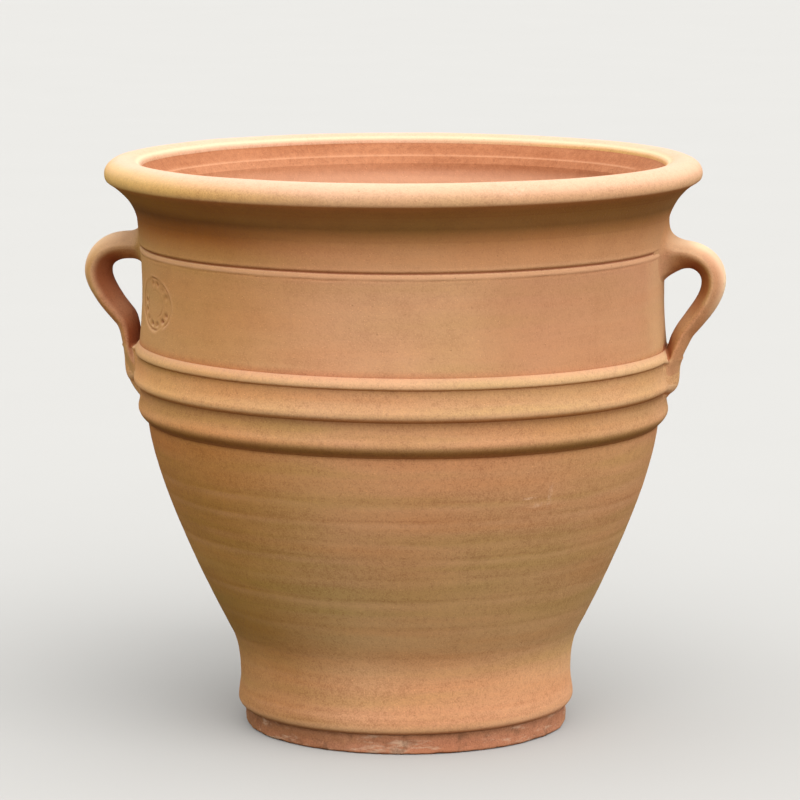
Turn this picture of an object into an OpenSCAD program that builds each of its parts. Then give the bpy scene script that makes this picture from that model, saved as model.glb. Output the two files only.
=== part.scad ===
// Large round terracotta planter, thrown in two wall sections on a base slab, with a rolled rim,
// a belt of three ribs over the wall's seam and two strap handles joined on with clay pads.
// Millimetres, +Z up. Origin at the centre of the underside. The handles stand on +X and -X.

/* [Overall] */
// Height from the ground to the crown of the rim
pot_h = 576; // [540:1:640]
// Widest diameter of the rolled rim
rim_d = 600; // [560:1:640]
// Widest diameter of the rounded toe
toe_d = 341.5; // [320:0.5:380]
// Thickness of the wall, measured level
wall_t = 22; // [16:0.5:26]

/* [Base slab] */
// How far the raw base slab stays inside the toe that overhangs it
base_in = 6.75; // [4:0.25:10]
// Height of the slab's ledge, on which the wall stands
ledge_h = 20; // [12:0.5:24]
// Height of the floor inside
floor_h = 28; // [25:0.5:34]
// How far the joint between floor and wall slants outwards
floor_bevel = 6; // [3:0.5:8]
// Round on the lower edge of the slab
base_round = 3; // [1:0.5:5]
// Diameter of the drain hole
drain_d = 40; // [20:1:60]

/* [Foot] */
// Radius of the toe's rounded edge
toe_round = 8.5; // [6:0.5:10]
// How far the waist of the foot stays inside the toe
waist_in = 2.25; // [1:0.25:6]
// Height of the waist of the foot
foot_h = 52; // [46:1:60]

/* [Lower wall] */
// Height at which the foot turns into the flank
knee_h = 99; // [92:1:110]
// How far the wall stands out from the waist at that height
knee_out = 8.6; // [6:0.1:11]
// How far the flank swells beyond a straight line
flank_swell = 17.7; // [8:0.1:24]
// Where the swell is fullest, as a share of the way up the flank
swell_place = 0.65; // [0.5:0.01:0.72]

/* [Belt of ribs] */
// Depth of the belt's lower edge below the crown of the rim
belt_drop = 267; // [250:1:290]
// How far the bare wall stays inside the rim at the belt's lower edge
belt_low_in = 42.5; // [38:0.5:48]
// How far the bare wall stays inside the rim at the belt's upper edge
belt_top_in = 34.5; // [33:0.5:36.5]
// Thickness of the belt's feathered edges, where it meets the bare wall
feather_t = 1; // [0.4:0.1:1.4]
// How far the joint between the two wall sections slants, behind the belt
seam_rise = 11; // [6:0.5:16]

/* [Lower rib] */
// Height of the lower rib
low_band = 37; // [32:0.5:42]
// How far its crest stays inside the rim
low_crest_in = 33; // [30:0.25:35]
// Height of its crest above its lower edge
low_crest_up = 17; // [14:0.5:20]
// How far its upper edge, under the middle rib, stays inside the rim
low_flute_in = 34; // [33:0.25:35.5]
// How deep the flute above its crest is hollowed
low_flute_deep = 1.2; // [0:0.1:2]

/* [Middle rib] */
// Height of the middle rib
mid_band = 31; // [27:0.5:36]
// How far its crest stays inside the rim
mid_crest_in = 28.5; // [25:0.25:30]
// Height of its crest above its lower edge
mid_crest_up = 9; // [7:0.5:12]
// How far its upper edge, under the upper rib, stays inside the rim
mid_flute_in = 32.7; // [31.5:0.1:33.5]
// How deep the flute above its crest is hollowed
mid_flute_deep = 0.6; // [0:0.1:2]
// Height of the flat on the crest of the lower and the middle rib
crest_flat = 4; // [2:0.5:6]

/* [Upper rib] */
// Height of the upper rib, a narrow ridge
top_band = 12; // [10:0.5:16]
// How far its crest stays inside the rim
top_crest_in = 30; // [27.5:0.25:31.5]
// Height of its crest above its lower edge
top_crest_up = 5; // [4:0.5:7]
// Height of the flat on its crest
ridge_flat = 1.5; // [0.5:0.1:2.5]
// How full its upper slope is, beyond a straight line
ridge_swell = 1.2; // [0:0.1:2]

/* [Upper wall] */
// How far the narrowest place of the neck stays inside the rim
neck_in = 37.7; // [36:0.1:42]
// Height of that narrowest place, as a share of the way from the belt to the rim's seat
neck_place = 0.377; // [0.3:0.001:0.45]
// How far the wall stays inside the rim where it meets the rim
shoulder_in = 29; // [27:0.5:32]
// How far up the wall stays upright before it flares to the rim, as a share
flare_place = 0.48; // [0.3:0.01:0.6]
// Depth of the main groove round the neck below the crown of the rim
groove_drop = 86.5; // [76:0.5:92]
// Width of the main groove
groove_w = 4; // [2:0.5:6]
// Depth of the main groove
groove_deep = 2.6; // [1:0.2:4]
// Distance from the main groove down to the thin scored line
score_drop = 8; // [6:0.5:12]
// Width of the thin scored line
score_w = 2; // [1:0.5:3]
// Depth of the thin scored line
score_deep = 1; // [0.4:0.2:2]

/* [Rim] */
// Height of the rim coil from its seat on the wall to its crown
rim_h = 36; // [32:0.5:42]
// How much higher the rim's seat is inside than outside
seat_rise = 6; // [2:0.5:9]
// Height of the roll from its lower corner to its crown
roll_h = 22; // [20:0.5:26]
// Height of the dome from the rim's widest line to its crown
dome_h = 15; // [11:0.5:16]
// Distance from the widest line in to the crown
dome_w = 19; // [14:0.5:22]
// Width of the roll, from its widest line to the mouth
roll_w = 36.5; // [32:0.5:41]
// Round on the roll's lower corner
corner_round = 3.2; // [2:0.2:5]
// Distance from the widest line in to where the rim's underside ends
cove_w = 20; // [16:0.5:22]
// How far the underside is hollowed
cove_hollow = 1.2; // [0:0.1:3]
// Height from the mouth's edge to the crown
mouth_drop = 9; // [6:0.5:12]
// Depth of the bevel inside the mouth, from the crown down to its ledge
bevel_h = 21; // [18:0.5:25]
// How far the bevel narrows the mouth
bevel_w = 9.6; // [6:0.2:11]
// Width of the small step under the bevel
step_w = 1.5; // [0.5:0.1:2.5]

/* [Bead under the rim] */
// Height of the thin coil under the rim
bead_h = 9; // [6:0.5:12]
// How far its upper edge stays inside the rim's underside
bead_in = 1.5; // [0.5:0.1:3]
// How full its face is, beyond a straight line
bead_swell = 2; // [0.5:0.1:3]

/* [Handles] */
// Height of the handle's upper root, as a share of the way from the belt to the rim's seat
root_place = 0.619; // [0.56:0.001:0.66]
// How far the middle of the grip stands out from the neck
grip_out = 51.7; // [46:0.1:68]
// Height of the middle of the grip, as a share of the way from the leg's joint up to the root
grip_place = 0.642; // [0.58:0.001:0.7]
// How squarely the handle turns over at the top, as a share
turn_square = 0.6; // [0.5:0.01:0.7]
// How low the grip stays upright, as a share of the way to the leg's joint
grip_low = 0.36; // [0.25:0.01:0.5]
// Width of the strap
strap_w = 54; // [40:1:64]
// Thickness of the strap
strap_t = 25; // [20:0.5:28]
// How far the strap's two edges lie outside its middle
edge_out = 3; // [0:0.1:5]
// Height of the joint between the handle's leg and the lower pad, as a share of the same way as the root
joint_place = 0.129; // [0.1:0.001:0.15]
// How far that joint stands out from the wall at the belt's upper edge
joint_out = 22.5; // [20.5:0.5:30]
// Lean of the leg at that joint, in degrees from upright
leg_lean = 38.5; // [34:0.5:44]
// Length over which the leg runs straight at that joint
leg_run = 17; // [10:0.5:22]

/* [Pads] */
// Clear length of the upper pad between wall and handle
pad_reach = 16; // [13:0.5:18]
// How far the upper pad spreads round the handle
pad_spread = 20; // [12:0.5:24]
// How far the tip of the lower pad reaches below the middle rib
tip_down = 1; // [-4:0.5:6]
// How far the lower pad's middle line lies behind the middle rib's crest at the tip
tail_sink = 6.5; // [5:0.1:8]
// How far the lower pad is wider than the strap, to each side
tail_spread = 12; // [4:1:18]
// Where the lower pad starts to round off towards its tip, as a share of its length
tail_round = 0.7; // [0.6:0.01:0.85]
// Film of slip between the clay of a pad and the pot
slip_t = 0.2; // [0.1:0.05:0.5]

/* [Hidden] */

// how far a cut runs past the surface that it cuts
past = 1;
// sides of the strap's section, and rings along each swept piece
sides = 24;
grip_rings = 26;
tail_rings = 14;
spread_rings = 7;
// how sharp the strap's edges are: 1 is an oval, more is a lens
lens_sharp = 1.2;

clay = [0.76, 0.54, 0.36];
clay_pale = [0.90, 0.73, 0.55];
clay_raw = [0.60, 0.42, 0.30];

toe_r = toe_d / 2;
base_r = toe_r - base_in;
foot_r = toe_r - waist_in;
knee_r = foot_r + knee_out;
rim_r = rim_d / 2;
belt_low_r = rim_r - belt_low_in;
belt_top_r = rim_r - belt_top_in;
neck_r = rim_r - neck_in;
shoulder_r = rim_r - shoulder_in;
crown_r = rim_r - dome_w;
mouth_r = rim_r - roll_w;
cove_r = rim_r - cove_w;

// heights of the joints between the pieces
seat_h = pot_h - rim_h;
bead_low_h = seat_h - bead_h;
belt_h = pot_h - belt_drop;
mid_low_h = belt_h + low_band;
top_low_h = mid_low_h + mid_band;
belt_top_h = top_low_h + top_band;
seam_h = mid_low_h - seam_rise;
groove_h = pot_h - groove_drop;
tip_h = mid_low_h - tip_down;

// blends and curves
function mix(a, b, t) = a + (b - a) * t;
function ease(t) = t * t * (3 - 2 * t);
function bend(a, b, c, t) = mix(mix(a, b, t), mix(b, c, t), t);
function bend3(p, t) = mix(bend(p[0], p[1], p[2], t), bend(p[1], p[2], p[3], t), t);
function heading3(p, t) = bend(p[1] - p[0], p[2] - p[1], p[3] - p[2], t);
function curve(a, b, c, steps) = [for (i = [0 : steps]) bend(a, b, c, i / steps)];
function arc(middle, across, up, from, to, steps) =
    [for (i = [0 : steps]) let (a = mix(from, to, i / steps)) middle + [across * cos(a), up * sin(a)]];
function rest(list) = [for (i = [1 : len(list) - 1]) list[i]];
function reversed(list) = [for (i = [len(list) - 1 : -1 : 0]) list[i]];
function last(list) = list[len(list) - 1];
function moved_in(list, t) = [for (p = list) [p.x - t, p.y]];
// radius of an outline at a height
function radius_at(outline, z) = lookup(z, [for (p = outline) [p.y, p.x]]);

// Outlines are lists of [radius, height] from the bottom up.

// toe, foot and flank
toe_middle = [toe_r - toe_round, ledge_h + toe_round];
foot_end = [foot_r, foot_h];
knee = [knee_r, knee_h];
belt_low = [belt_low_r, belt_h];
flank_mid = mix(knee, belt_low, swell_place) + [flank_swell, 0];
knee_lean = (flank_mid.x - knee.x) / (flank_mid.y - knee.y);
knee_start = [foot_r, max(knee_h - knee_out / knee_lean, mix(foot_h, knee_h, 1 / 3))];
foot_outline = [for (i = [0 : 5]) [mix(toe_r, foot_r, ease(i / 5)), mix(toe_middle.y, foot_h, i / 5)]];
knee_outline = curve(foot_end, knee_start, knee, 8);
flank_outline = curve(knee, flank_mid, belt_low, 12);

// bare wall behind the belt, and the joint of the two wall sections in it
belt_top = [belt_top_r, belt_top_h];
function core_at(z) = [mix(belt_low_r, belt_top_r, (z - belt_h) / (belt_top_h - belt_h)), z];
seam_out = core_at(seam_h);
seam_in = core_at(seam_h + seam_rise) - [wall_t, 0];

// neck
function neck_up(place) = mix(belt_top_h, seat_h, place);
neck_start = [neck_r, neck_up(neck_place)];
neck_end = [shoulder_r, seat_h];
neck_low = curve(belt_top, [neck_r, neck_up(neck_place / 2)], neck_start, 5);
neck_high = curve(neck_start, [neck_r, mix(neck_start.y, seat_h, flare_place)], neck_end, 8);
neck_outline = concat(neck_low, rest(neck_high));
seat_in = neck_end + [-wall_t, seat_rise];

// a rib from its lower edge over its crest to its upper edge
function rib_outline(low, crest, flat, high, hollow) = concat(
    curve(low, [crest.x, mix(low.y, crest.y - flat, 0.5)], crest - [0, flat], 5),
    curve(crest, mix(crest, high, 0.5) - [hollow, 0], high, 6));
low_rib = rib_outline(belt_low + [feather_t, 0], [rim_r - low_crest_in, belt_h + low_crest_up], crest_flat,
    [rim_r - low_flute_in, mid_low_h], low_flute_deep);
mid_rib = rib_outline(last(low_rib), [rim_r - mid_crest_in, mid_low_h + mid_crest_up], crest_flat,
    [rim_r - mid_flute_in, top_low_h], mid_flute_deep);
top_rib = rib_outline(last(mid_rib), [rim_r - top_crest_in, top_low_h + top_crest_up], ridge_flat,
    belt_top + [feather_t, 0], -ridge_swell);

// rim: underside, roll, dome and the bevel inside the mouth
seat_out = [cove_r, seat_h];
corner = [rim_r - corner_round, pot_h - roll_h];
widest = [rim_r, pot_h - dome_h];
mouth_h = pot_h - mouth_drop;
underside = curve(seat_out, mix(seat_out, corner, 0.5) + [-cove_hollow, cove_hollow], corner, 5);
roll_side = curve(corner, [rim_r, corner.y + corner_round / 2], widest, 4);
dome = arc([crown_r, widest.y], dome_w, dome_h, 0, 90, 8);
mouth_roll = arc([crown_r, mouth_h], crown_r - mouth_r, mouth_drop, 90, 180, 7);
bevel_end = [mouth_r - bevel_w, pot_h - bevel_h];
step_end = bevel_end - [step_w, step_w];

// Paths of the handle and of its tail, as [distance from the axis, height].
root_h = neck_up(root_place);
root = [radius_at(neck_outline, root_h) + pad_reach, root_h];
joint = [belt_top_r + joint_out, neck_up(joint_place)];
leg = [sin(leg_lean), cos(leg_lean)];
grip = [neck_r + grip_out, mix(joint.y, root_h, grip_place)];
grip_top = [root, [mix(root.x, grip.x, turn_square), root_h], [grip.x, mix(grip.y, root_h, turn_square)], grip];
grip_leg = [grip, [grip.x, mix(grip.y, joint.y, grip_low)], joint + leg_run * leg, joint];
tail_line = rim_r - mid_crest_in - tail_sink;
tail = [joint, joint - leg_run * leg, [tail_line, mix(tip_h, joint.y, grip_low)], [tail_line, tip_h]];

// one point of the strap's section: how far along its width, and how far outwards
function strap_point(i, half_w, half_t) = let (a = 360 * i / sides)
    [half_w * cos(a), half_t * sign(sin(a)) * pow(abs(sin(a)), lens_sharp) + edge_out * pow(cos(a), 2)];
function strap_ring(middle, ahead, half_w, half_t) =
    let (out = [-ahead.y, ahead.x] / norm(ahead))
    [for (i = [0 : sides - 1]) let (s = strap_point(i, half_w, half_t), p = middle + s.y * out)
        [p.x, s.x, p.y]];
function path_ring(path, t, half_w, half_t) = strap_ring(bend3(path, t), heading3(path, t), half_w, half_t);

// share of its full section that the lower pad has at t, from its joint to its rounded tip
function tail_full(t) = t < tail_round ? 1
    : sqrt(max(0.02, 1 - pow((t - tail_round) / (1 - tail_round), 2)));

// upper pad: rings that spread from the handle's end to the wall, then close over the wall
function wall_ring(half_w, half_t, lift) = [for (i = [0 : sides - 1])
    let (s = strap_point(i, half_w, half_t), z = root_h + s.y,
        on_wall = sqrt(pow(radius_at(neck_outline, z) + slip_t, 2) - s.x * s.x))
    [mix(on_wall, root.x, lift), s.x, z]];
function spread_ring(t) = let (grow = pad_spread * (1 - cos(90 * t)))
    wall_ring(strap_w / 2 + grow, strap_t / 2 + grow, 1 - sin(90 * t));
function cap_ring(share) = wall_ring((strap_w / 2 + pad_spread) * share, (strap_t / 2 + pad_spread) * share, 0);

// closed skin over a row of rings
module tube(rings) {
    count = len(rings);
    skin = [for (j = [0 : count - 2], i = [0 : sides - 1])
        let (k = (i + 1) % sides, a = j * sides, b = a + sides)
        each [[a + i, b + k, a + k], [a + i, b + i, b + k]]];
    ends = [[for (i = [0 : sides - 1]) i], [for (i = [sides - 1 : -1 : 0]) (count - 1) * sides + i]];
    polyhedron([for (r = rings) each r], concat(skin, ends), convexity = 6);
}

// body of revolution
module turned(outline) rotate_extrude($fn = 180) polygon(outline);

// ring cut into the neck: a V with a narrow floor
module notch(z, width, deep) {
    r = radius_at(neck_outline, z);
    turned([[r + past, z - width / 2 - past / 2], [r - deep, z - width / 6],
        [r - deep, z + width / 6], [r + past, z + width / 2 + past / 2]]);
}

// rib laid on the bare wall
module rib(outline) turned(concat([core_at(outline[0].y)], outline, [core_at(last(outline).y)]));

module base_disc() color(clay_raw) difference() {
    turned([[0, 0], [base_r - base_round, 0], [base_r, base_round], [base_r, ledge_h],
        [foot_r - wall_t + floor_bevel, ledge_h], [foot_r - wall_t, floor_h], [0, floor_h]]);
    translate([0, 0, -past]) cylinder(d = drain_d, h = floor_h + 2 * past, $fn = 64);
}

module lower_wall() color(clay) turned(concat(
    [[foot_r - wall_t, floor_h], [foot_r - wall_t + floor_bevel, ledge_h]],
    arc(toe_middle, toe_round, toe_round, -90, 0, 6), rest(foot_outline), rest(knee_outline),
    rest(flank_outline), [seam_out, seam_in],
    reversed(moved_in(concat(knee_outline, rest(flank_outline)), wall_t))));

module upper_wall() color(clay) difference() {
    turned(concat([seam_in, seam_out], neck_outline, [seat_in],
        rest(reversed(moved_in(neck_outline, wall_t)))));
    notch(groove_h, groove_w, groove_deep);
    notch(groove_h - score_drop, score_w, score_deep);
}

module rib_lower() color(clay_pale) rib(low_rib);
module rib_middle() color(clay_pale) rib(mid_rib);
module rib_upper() color(clay_pale) rib(top_rib);

module rim_bead() color(clay) {
    low = [radius_at(neck_outline, bead_low_h), bead_low_h];
    high = seat_out - [bead_in, 0];
    turned(concat(curve(low, mix(low, high, 0.5) + [bead_swell, -bead_swell], high, 5), [neck_end]));
}

module rim_coil() color(clay_pale) turned(concat([neck_end], underside, rest(roll_side), rest(dome),
    rest(mouth_roll), [bevel_end, step_end, seat_in]));

module upper_pad() tube(concat([for (j = [0 : spread_rings]) spread_ring(j / spread_rings)],
    [for (share = [2 / 3, 1 / 3, 0.02]) cap_ring(share)]));
module upper_pad_right() color(clay) upper_pad();
module upper_pad_left() color(clay) rotate([0, 0, 180]) upper_pad();

module handle() tube([for (j = [0 : grip_rings]) let (t = 2 * j / grip_rings)
    t < 1 ? path_ring(grip_top, t, strap_w / 2, strap_t / 2)
        : path_ring(grip_leg, t - 1, strap_w / 2, strap_t / 2)]);
module handle_right() color(clay_pale) handle();
module handle_left() color(clay_pale) rotate([0, 0, 180]) handle();

// lower pad: the handle's tail, pressed down over the ribs and fitted to them
module lower_pad() difference() {
    tube([for (j = [0 : tail_rings]) let (t = j / tail_rings)
        path_ring(tail, t, (strap_w / 2 + tail_spread * ease(min(1, t / tail_round))) * tail_full(t),
            strap_t / 2 * tail_full(t))]);
    turned(concat([[0, belt_h]], moved_in(concat(low_rib, rest(mid_rib), rest(top_rib), neck_low), -slip_t),
        [[0, neck_start.y]]));
}
module lower_pad_right() color(clay) lower_pad();
module lower_pad_left() color(clay) rotate([0, 0, 180]) lower_pad();

base_disc();
lower_wall();
upper_wall();
rib_lower();
rib_middle();
rib_upper();
rim_bead();
rim_coil();
upper_pad_right();
upper_pad_left();
handle_right();
handle_left();
lower_pad_right();
lower_pad_left();
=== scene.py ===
"""Terracotta planter: hand-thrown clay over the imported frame, on a pale studio floor."""
from collections import namedtuple
from math import cos, pi, radians, sin

import bpy
import numpy as np
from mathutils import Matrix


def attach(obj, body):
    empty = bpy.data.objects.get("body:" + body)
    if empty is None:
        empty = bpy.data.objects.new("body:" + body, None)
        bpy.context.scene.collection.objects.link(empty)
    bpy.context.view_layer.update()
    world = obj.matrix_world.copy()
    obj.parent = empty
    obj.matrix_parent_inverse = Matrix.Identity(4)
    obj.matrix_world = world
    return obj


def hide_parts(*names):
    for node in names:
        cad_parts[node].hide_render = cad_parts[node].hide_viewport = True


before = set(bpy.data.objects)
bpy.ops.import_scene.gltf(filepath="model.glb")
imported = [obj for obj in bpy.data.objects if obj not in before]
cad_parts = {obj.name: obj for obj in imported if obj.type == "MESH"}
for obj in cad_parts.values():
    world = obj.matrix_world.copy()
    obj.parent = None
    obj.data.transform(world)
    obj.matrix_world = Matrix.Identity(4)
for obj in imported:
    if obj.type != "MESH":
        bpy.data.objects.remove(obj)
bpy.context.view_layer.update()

# Sizes of the part, in millimetres, as in its source
POT_H, RIM_R, TOE_R, WALL_T = 576.0, 300.0, 170.75, 22.0
BASE_R, LEDGE_H, FLOOR_H, FLOOR_BEVEL, BASE_ROUND, DRAIN_R = 164.0, 20.0, 28.0, 6.0, 3.0, 20.0
TOE_ROUND, FOOT_R, FOOT_H = 8.5, 168.5, 52.0
KNEE_H, KNEE_OUT, FLANK_SWELL, SWELL_PLACE = 99.0, 8.6, 17.7, 0.65
BELT_H, BELT_LOW_R, BELT_TOP_R, FEATHER_T = 309.0, 257.5, 265.5, 0.15
MID_LOW_H, TOP_LOW_H, BELT_TOP_H, SEAM_H, SEAM_RISE = 346.0, 377.0, 389.0, 335.0, 11.0
NECK_R, NECK_H, SHOULDER_R, SEAT_H, FLARE_PLACE = 262.3, 445.9, 271.0, 540.0, 0.48
GROOVE_H, GROOVE_W, GROOVE_DEEP, SCORE_H, SCORE_W, SCORE_DEEP = 489.5, 4.0, 2.6, 481.5, 2.0, 1.0
SEAT_RISE, ROLL_H, DOME_H, DOME_W, ROLL_W, CORNER_ROUND = 6.0, 22.0, 15.0, 19.0, 36.5, 3.2
COVE_W, COVE_HOLLOW, MOUTH_DROP, BEVEL_H, BEVEL_W, STEP_W = 20.0, 1.2, 9.0, 21.0, 9.6, 1.5
BEAD_H, BEAD_REACH, BEAD_HOLLOW = 22.0, 0.34, 3.6
# The bead's end runs on into the rim, so that its edge is hidden
BEAD_TIP = (1.3, 1.55)
ROOT_H, ROOT_R, GRIP_H, TURN_SQUARE, GRIP_LOW = 482.5, 279.7, 456.0, 0.6, 0.36
JOINT_H, LEG_LEAN, LEG_RUN, STRAP_W, LENS_SHARP = 408.5, 37.0, 16.0, 54.0, 1.7
MM = 0.001

# Camera: fitted to the ellipses of rim, ribs and toe; distances in metres
CAMERA_FAR, CAMERA_HIGH, CAMERA_TURN, CAMERA_DOWN = 4.163, 0.954, radians(8), radians(8.54)
FOCAL_PX, FRAME_PX, AXIS_PX, SENSOR_MM = 4164.0, 800, 403.5, 36.0


# Curves
def mix(a, b, t):
    return a + (b - a) * t


def ease(t):
    t = np.clip(t, 0, 1)
    return t * t * (3 - 2 * t)


def rising(value, start, reach):
    """From 0 to 1 as a value climbs from start over a reach."""
    return ease((value - start) / reach)


def falling(value, end, reach):
    """From 1 to 0 as a value climbs over a reach up to end."""
    return ease((end - value) / reach)


def hill(distance, width):
    return np.exp(-((distance / width) ** 2))


def bend(a, b, c, t):
    return mix(mix(a, b, t), mix(b, c, t), t)


def bend3(p, t):
    return mix(bend(p[0], p[1], p[2], t), bend(p[1], p[2], p[3], t), t)


def heading3(p, t):
    return bend(p[1] - p[0], p[2] - p[1], p[3] - p[2], t)


def curve(a, b, c, steps=60):
    a, b, c = (np.asarray(p, float) for p in (a, b, c))
    return bend(a, b, c, np.linspace(0, 1, steps + 1)[:, None])


def arc(middle, across, up, start, end, steps=48):
    a = np.radians(np.linspace(start, end, steps + 1))
    return np.stack([middle[0] + across * np.cos(a), middle[1] + up * np.sin(a)], 1)


def turned_to(radius, turn):
    return radius * np.cos(turn), radius * np.sin(turn)


def runs(points):
    """Length along a line from its start to each of its points."""
    return np.concatenate([[0], np.cumsum(np.hypot(*np.diff(points, axis=0).T))])


def join(*parts):
    return np.concatenate([np.atleast_2d(np.asarray(p, float)) for p in parts])


def moved_in(points, t):
    return points - np.array([t, 0.0])


# Smooth noise from a lattice of seeded values, about -1 to 1
LATTICE_SIDE = 64
LATTICE = np.random.default_rng(20).uniform(-1, 1, (LATTICE_SIDE,) * 3)


def noise(x, y, z):
    cells, shares = [], []
    for v in np.broadcast_arrays(x, y, z):
        low = np.floor(v)
        cells.append(low.astype(int) % LATTICE_SIDE)
        shares.append(ease(v - low))
    total = 0.0
    for corner in range(8):
        index, weight = [], 1.0
        for axis in range(3):
            up = corner >> axis & 1
            index.append((cells[axis] + up) % LATTICE_SIDE)
            weight = weight * (shares[axis] if up else 1 - shares[axis])
        total = total + weight * LATTICE[tuple(index)]
    return total


def waves(x, y, z, deep, wide, high, seed=0):
    """Noise up to a given depth, in lumps of a given width and height in mm."""
    return deep * noise(x / wide, y / wide, z / high + seed)


def around_noise(x, y, size, seed):
    """Noise that changes round the pot but not over its height."""
    return noise(x / size, y / size, seed)


# Outlines of the pot, as [radius, height] from the bottom up
TOE_MIDDLE = (TOE_R - TOE_ROUND, LEDGE_H + TOE_ROUND)
KNEE = np.array([FOOT_R + KNEE_OUT, KNEE_H])
BELT_LOW, BELT_TOP = np.array([BELT_LOW_R, BELT_H]), np.array([BELT_TOP_R, BELT_TOP_H])
FLANK_MID = mix(KNEE, BELT_LOW, SWELL_PLACE) + (FLANK_SWELL, 0)
KNEE_LEAN = (FLANK_MID[0] - KNEE[0]) / (FLANK_MID[1] - KNEE[1])
KNEE_START = (FOOT_R, KNEE_H - KNEE_OUT / KNEE_LEAN)
waist = np.linspace(0, 1, 41)
foot_line = np.stack([mix(TOE_R, FOOT_R, ease(waist)), mix(TOE_MIDDLE[1], FOOT_H, waist)], 1)
knee_line = curve((FOOT_R, FOOT_H), KNEE_START, KNEE)
flank_line = curve(KNEE, FLANK_MID, BELT_LOW, 120)


def core_at(z):
    return np.array([mix(BELT_LOW_R, BELT_TOP_R, (z - BELT_H) / (BELT_TOP_H - BELT_H)), z])


seam_out = core_at(SEAM_H)
seam_in = core_at(SEAM_H + SEAM_RISE) - (WALL_T, 0)
neck_low = curve(BELT_TOP, (NECK_R, mix(BELT_TOP_H, NECK_H, 0.5)), (NECK_R, NECK_H))
neck_high = curve((NECK_R, NECK_H), (NECK_R, mix(NECK_H, SEAT_H, FLARE_PLACE)), (SHOULDER_R, SEAT_H), 80)
neck_line = join(neck_low, neck_high[1:])
neck_end, seat_in = neck_line[-1], neck_line[-1] + (-WALL_T, SEAT_RISE)


def rib_line(low, crest, flat, high, hollow):
    low, crest, high = (np.asarray(p, float) for p in (low, crest, high))
    return join(
        curve(low, (crest[0], mix(low[1], crest[1] - flat, 0.5)), crest - (0, flat), 24),
        curve(crest, mix(crest, high, 0.5) - (hollow, 0), high, 40),
    )


low_rib = rib_line(BELT_LOW + (FEATHER_T, 0), (267, BELT_H + 17), 2, (266, MID_LOW_H), 2.2)
mid_rib = rib_line(low_rib[-1], (271.5, MID_LOW_H + 9), 2, (267.3, TOP_LOW_H), 1.8)
top_rib = rib_line(mid_rib[-1], (270, TOP_LOW_H + 5), 1.5, BELT_TOP + (FEATHER_T, 0), -1.2)

seat_out = np.array([RIM_R - COVE_W, SEAT_H])
corner = np.array([RIM_R - CORNER_ROUND, POT_H - ROLL_H])
crown_r, mouth_r = RIM_R - DOME_W, RIM_R - ROLL_W
under_line = curve(seat_out, mix(seat_out, corner, 0.5) + (-COVE_HOLLOW, COVE_HOLLOW), corner)
side_line = curve(corner, (RIM_R, corner[1] + CORNER_ROUND / 2), (RIM_R, POT_H - DOME_H), 24)
dome_line = arc((crown_r, POT_H - DOME_H), DOME_W, DOME_H, 0, 90)
mouth_line = arc((crown_r, POT_H - MOUTH_DROP), crown_r - mouth_r, MOUTH_DROP, 90, 180)
bevel_end = np.array([mouth_r - BEVEL_W, POT_H - BEVEL_H])
step_end = bevel_end - (STEP_W, STEP_W)
bead_low_r = np.interp(SEAT_H - BEAD_H, neck_line[:, 1], neck_line[:, 0]) + FEATHER_T
bead_low = np.array([bead_low_r, SEAT_H - BEAD_H])
bead_place = int(BEAD_REACH * (len(under_line) - 1))
bead_high = under_line[bead_place]
bead_line = curve(bead_low, mix(bead_low, bead_high, 0.5) + (-BEAD_HOLLOW, BEAD_HOLLOW * 0.75), bead_high, 32)
bead_tip = bead_high + BEAD_TIP
pot_line = join(flank_line, low_rib[1:], mid_rib[1:], top_rib[1:], neck_line[1:])


def wall_at(z):
    return np.interp(z, pot_line[:, 1], pot_line[:, 0])


# The potter's hand: small shifts that every piece shares, so that the joints stay closed
# Thin lines left by the rib tool on flank and foot, as (height, strength)
THROWN_LINES = (
    (266.5, 0.55), (246.8, 0.7), (225.0, 0.35), (207.5, 0.65), (186.0, 0.3), (163.7, 0.75), (132.2, 0.3),
    (101.0, 0.3), (77.4, 0.2), (43.0, 0.5), (36.0, 0.5), (31.0, 0.6),
)
# Rise of each ring towards the viewer's right, in mm per mm, at these heights
TILT_H = (0, 28, 52, 150, 309, 350, 382, 400, 450, 489, 545, 565, 576)
TILT = (0, 0.0105, 0.007, 0, -0.0059, -0.0059, -0.0075, -0.006, -0.002, -0.0008, 0.0045, 0.0015, 0)
# How far the foot stands to the right, the rim is worn in, the belt's lower edge is up, a line is cut in
FOOT_LEAN = 2.5
RIM_TRIM = 0.5
BELT_RISE, BELT_RISE_H, BELT_RISE_REACH = 1.6, 311.0, 12.0
LINE_DEEP = 0.16
# Where quieter bands, the rim's own surface and the mouth's begin, as (height, reach)
QUIET_FROM, RIM_FROM, MOUTH_FROM = (290, 30), (500, 35), (515, 25)


def outside_shift(x, y, z):
    slow = waves(x, y, z, 0.8, 210, 260, 3) + waves(x, y, z, 0.35, 80, 50, 9)
    bands = waves(x, y, z, 0.13, 420, 7.5, 20) + waves(x, y, z, 0.05, 160, 3.1, 40)
    body = slow + bands * mix(1, 0.4, rising(z, *QUIET_FROM)) + waves(x, y, z, 0.1, 12, 8)
    rim = RIM_TRIM * (-1 + waves(x, y, z, 0.5, 70, 30) + waves(x, y, z, 0.3, 16, 12))
    return mix(body, rim, rising(z, *RIM_FROM))


def inside_shift(x, y, z):
    fingers = waves(x, y, z, 0.7, 380, 8.5, 11) + waves(x, y, z, 0.35, 120, 3.7, 30)
    slow = waves(x, y, z, 0.8, 90, 60, 17)
    return (fingers + slow) * mix(1, 0.25, rising(z, *MOUTH_FROM))


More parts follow.
